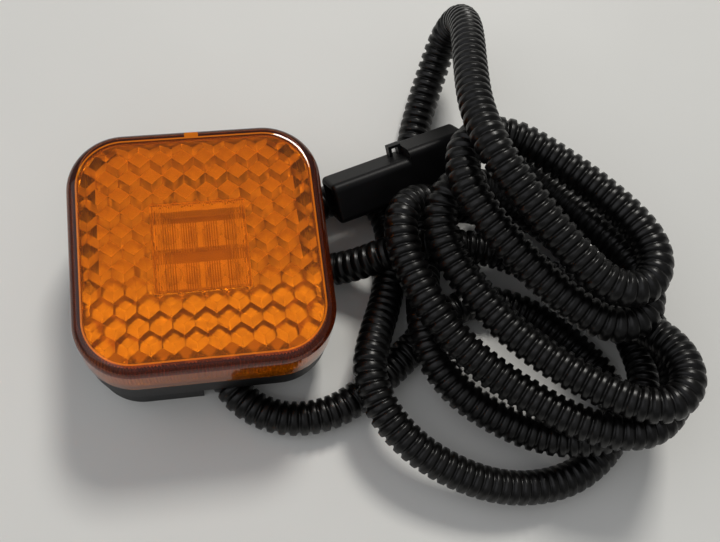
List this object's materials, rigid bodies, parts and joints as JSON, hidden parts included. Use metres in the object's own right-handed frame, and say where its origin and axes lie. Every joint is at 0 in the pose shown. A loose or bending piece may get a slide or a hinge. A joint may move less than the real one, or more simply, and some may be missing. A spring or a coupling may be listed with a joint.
{
  "type": "vehicle side marker lamp",
  "caption": "Square amber LED side marker lamp with a reflex lens, black base, lead in corrugated conduit wound into a loose bundle, and a two-part connector.",
  "frame": {"origin": "on the surface the lamp lies on, under the centre of its square lens", "axes": "+Z out of the lens face, +X towards the wound lead, +Y towards the side of the lens with the moulding gate"},
  "size_m": [0.1711, 0.1541, 0.0605],
  "materials": {
    "amber_lens": "polished amber acrylic",
    "black_housing": "satin",
    "white_shroud": "moulded",
    "board": "white solder mask",
    "led": "clear dome on a pale package",
    "chip": "moulded",
    "wire_supply": "insulation",
    "wire_earth": "insulation",
    "potting": "cast resin",
    "seal": "matte",
    "insert": "machined",
    "conduit": "satin",
    "connector": "fine spark-eroded grain",
    "connector_lock": "moulded",
    "terminal": "tinned"
  },
  "bodies": {
    "root": {"lens": "amber_lens", "base": "black_housing", "window_shroud": "white_shroud", "circuit_board": "board", "led_1": "led", "led_2": "led", "led_3": "led", "led_4": "led", "resistor_1": "chip", "resistor_2": "chip", "diode": "chip", "wire_supply": "wire_supply", "wire_earth": "wire_earth", "potting": "potting", "outlet": "black_housing", "outlet_seal": "seal", "insert_1": "insert", "insert_2": "insert", "conduit_lead": "conduit", "conduit_under_lamp": "conduit", "conduit_turn_1": "conduit", "conduit_turn_2": "conduit", "conduit_turn_3": "conduit", "conduit_turn_4": "conduit", "conduit_tail": "conduit", "connector_body": "connector", "connector_holder": "connector", "connector_latch": "connector", "connector_lock": "connector_lock", "connector_seal": "seal", "terminal_supply": "terminal", "terminal_earth": "terminal"}
  },
  "joints": []
}
